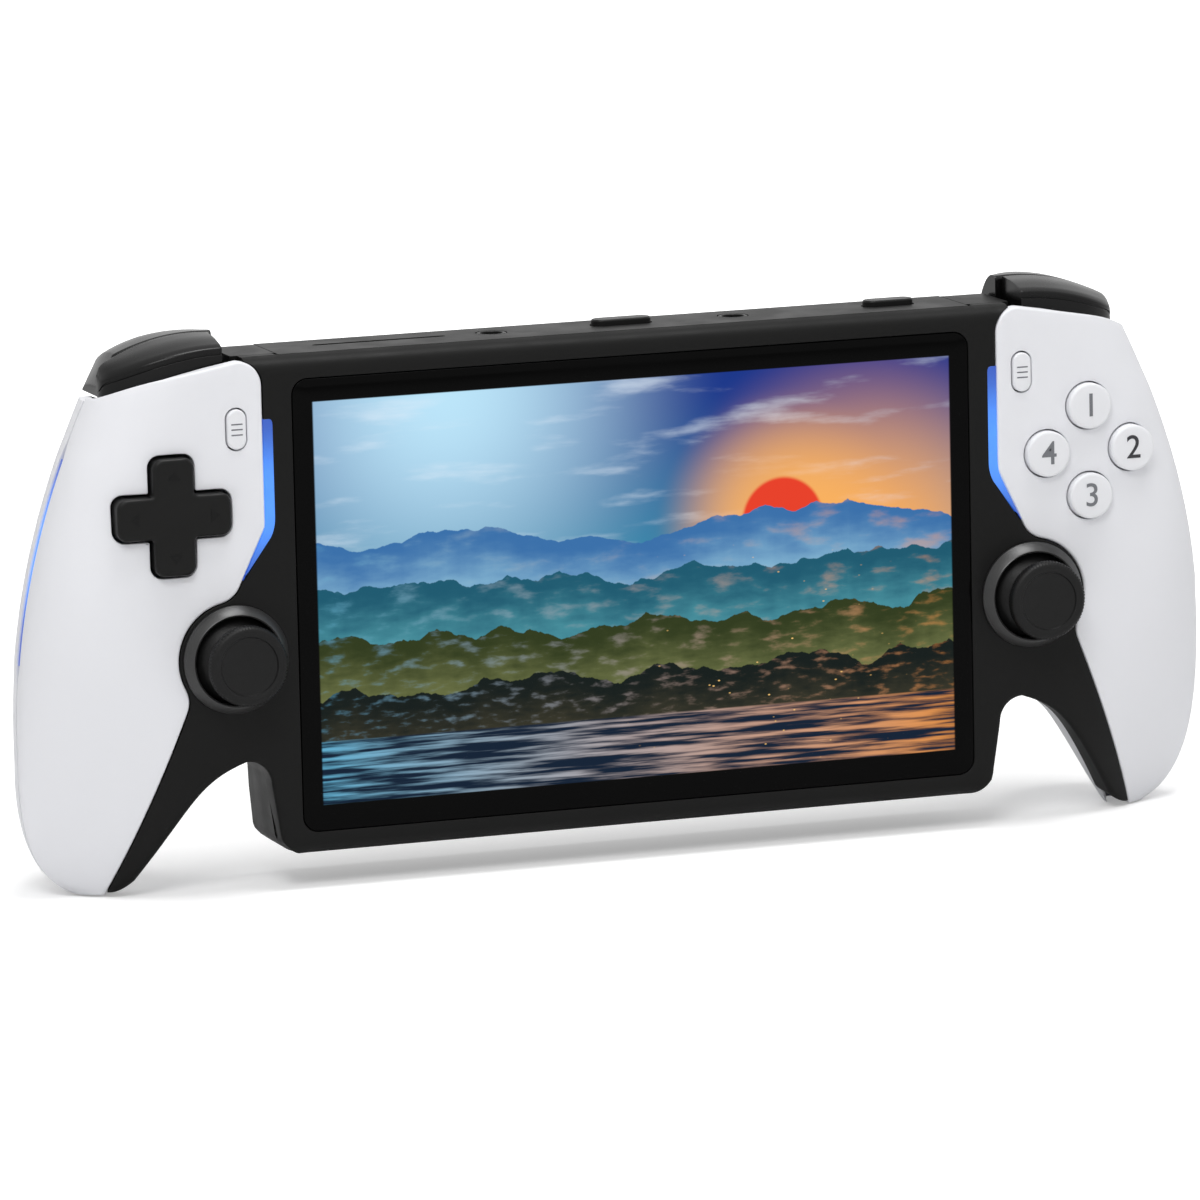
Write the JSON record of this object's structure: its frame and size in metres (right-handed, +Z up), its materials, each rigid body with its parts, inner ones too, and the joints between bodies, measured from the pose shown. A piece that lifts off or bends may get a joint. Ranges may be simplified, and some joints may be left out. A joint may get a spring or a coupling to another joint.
{
  "type": "handheld game console",
  "caption": "Handheld game console with a flat screen body between two swept white grips, thumb sticks, cross key, round keys, shoulder keys and blue light guides.",
  "frame": {"origin": "on the ground under the middle of the console as it stands on its grip tips", "axes": "+X to the player's right, the screen faces -Y, +Z up along the screen"},
  "size_m": [0.2024, 0.0388, 0.0897],
  "materials": {
    "shell_white": "satin moulded",
    "shell_black": "fine matte grain",
    "shoulder_black": "glossy",
    "key_black": "satin",
    "key_white": "satin",
    "stick_rubber": "matte, knurled rim",
    "lens": "gloss with printed black border",
    "display": "lit display",
    "light": "lit light guide",
    "dome_rubber": "matte",
    "inner_plastic": "moulded",
    "steel": "plain",
    "board": "solder resist",
    "battery": "foil wrap"
  },
  "bodies": {
    "case": {"front_frame": "shell_black", "rear_cover": "shell_black", "top_strip": "shell_black", "screen_lens": "lens", "lcd_panel": "display", "left_front_panel": "shell_white", "right_front_panel": "shell_white", "left_rear_shell": "shell_white", "right_rear_shell": "shell_white", "left_inner_light": "light", "right_inner_light": "light", "left_side_light": "light", "right_side_light": "light", "left_stick_collar": "shell_black", "left_stick_base": "inner_plastic", "right_stick_collar": "shell_black", "right_stick_base": "inner_plastic", "left_shoulder_bracket": "inner_plastic", "right_shoulder_bracket": "inner_plastic", "shoulder_pins": "steel", "left_jack": "key_black", "right_jack": "key_black", "left_key_board": "board", "right_key_board": "board", "left_key_rubber": "dome_rubber", "right_key_rubber": "dome_rubber", "main_board": "board", "battery": "battery", "speaker": "inner_plastic", "case_screws": "steel"},
    "left_stick_yoke": {"left_stick_yoke": "inner_plastic"},
    "left_stick_cap": {"left_stick_cap": "stick_rubber"},
    "right_stick_yoke": {"right_stick_yoke": "inner_plastic"},
    "right_stick_cap": {"right_stick_cap": "stick_rubber"},
    "dpad_rocker": {"dpad_rocker": "steel"},
    "dpad": {"dpad": "key_black"},
    "face_button_top": {"face_button_top": "key_white"},
    "face_button_left": {"face_button_left": "key_white"},
    "face_button_right": {"face_button_right": "key_white"},
    "face_button_bottom": {"face_button_bottom": "key_white"},
    "left_menu_button": {"left_menu_button": "key_white"},
    "right_menu_button": {"right_menu_button": "key_white"},
    "left_bumper": {"left_bumper": "shoulder_black"},
    "right_bumper": {"right_bumper": "shoulder_black"},
    "left_trigger": {"left_trigger": "shoulder_black"},
    "right_trigger": {"right_trigger": "shoulder_black"},
    "volume_button": {"volume_button": "key_black"},
    "power_button": {"power_button": "key_black"}
  },
  "joints": [
    {"name": "left_stick_fore_aft", "type": "hinge", "parent": "case", "child": "left_stick_yoke", "pos_m": [-0.0679, -0.0066, 0.0382], "axis": [1, 0, 0], "range_deg": [-14, 14], "stiffness_Nm_per_rad": 0.04},
    {"name": "left_stick_side", "type": "hinge", "parent": "left_stick_yoke", "child": "left_stick_cap", "pos_m": [-0.0679, -0.0066, 0.0382], "axis": [0, 0, 1], "range_deg": [-14, 14], "stiffness_Nm_per_rad": 0.04},
    {"name": "right_stick_fore_aft", "type": "hinge", "parent": "case", "child": "right_stick_yoke", "pos_m": [0.0679, -0.0066, 0.0382], "axis": [1, 0, 0], "range_deg": [-14, 14], "stiffness_Nm_per_rad": 0.04},
    {"name": "right_stick_side", "type": "hinge", "parent": "right_stick_yoke", "child": "right_stick_cap", "pos_m": [0.0679, -0.0066, 0.0382], "axis": [0, 0, 1], "range_deg": [-14, 14], "stiffness_Nm_per_rad": 0.04},
    {"name": "dpad_fore_aft", "type": "hinge", "parent": "case", "child": "dpad_rocker", "pos_m": [-0.0779, -0.0106, 0.0616], "axis": [1, 0, 0], "range_deg": [-5, 5], "stiffness_Nm_per_rad": 0.06},
    {"name": "dpad_side", "type": "hinge", "parent": "dpad_rocker", "child": "dpad", "pos_m": [-0.0779, -0.0106, 0.0616], "axis": [0, 0, 1], "range_deg": [-5, 5], "stiffness_Nm_per_rad": 0.06},
    {"name": "face_press_top", "type": "slide", "parent": "case", "child": "face_button_top", "axis": [0, 1, 0], "range_m": [0, 0.0012], "stiffness_N_per_m": 600},
    {"name": "face_press_left", "type": "slide", "parent": "case", "child": "face_button_left", "axis": [0, 1, 0], "range_m": [0, 0.0012], "stiffness_N_per_m": 600},
    {"name": "face_press_right", "type": "slide", "parent": "case", "child": "face_button_right", "axis": [0, 1, 0], "range_m": [0, 0.0012], "stiffness_N_per_m": 600},
    {"name": "face_press_bottom", "type": "slide", "parent": "case", "child": "face_button_bottom", "axis": [0, 1, 0], "range_m": [0, 0.0012], "stiffness_N_per_m": 600},
    {"name": "left_menu_press", "type": "slide", "parent": "case", "child": "left_menu_button", "axis": [0, 1, 0], "range_m": [0, 0.0006], "stiffness_N_per_m": 800},
    {"name": "right_menu_press", "type": "slide", "parent": "case", "child": "right_menu_button", "axis": [0, 1, 0], "range_m": [0, 0.0006], "stiffness_N_per_m": 800},
    {"name": "left_bumper_press", "type": "hinge", "parent": "case", "child": "left_bumper", "pos_m": [0, -0.0018, 0.0822], "axis": [1, 0, 0], "range_deg": [0, 5], "stiffness_Nm_per_rad": 0.1},
    {"name": "left_trigger_pull", "type": "hinge", "parent": "case", "child": "left_trigger", "pos_m": [0, 0.0049, 0.081], "axis": [1, 0, 0], "range_deg": [-12, 0], "stiffness_Nm_per_rad": 0.06},
    {"name": "right_bumper_press", "type": "hinge", "parent": "case", "child": "right_bumper", "pos_m": [0, -0.0018, 0.0822], "axis": [1, 0, 0], "range_deg": [0, 5], "stiffness_Nm_per_rad": 0.1},
    {"name": "right_trigger_pull", "type": "hinge", "parent": "case", "child": "right_trigger", "pos_m": [0, 0.0049, 0.081], "axis": [1, 0, 0], "range_deg": [-12, 0], "stiffness_Nm_per_rad": 0.06},
    {"name": "volume_press", "type": "slide", "parent": "case", "child": "volume_button", "axis": [0, 0, -1], "range_m": [0, 0.0006], "stiffness_N_per_m": 800},
    {"name": "power_press", "type": "slide", "parent": "case", "child": "power_button", "axis": [0, 0, -1], "range_m": [0, 0.0006], "stiffness_N_per_m": 800}
  ]
}
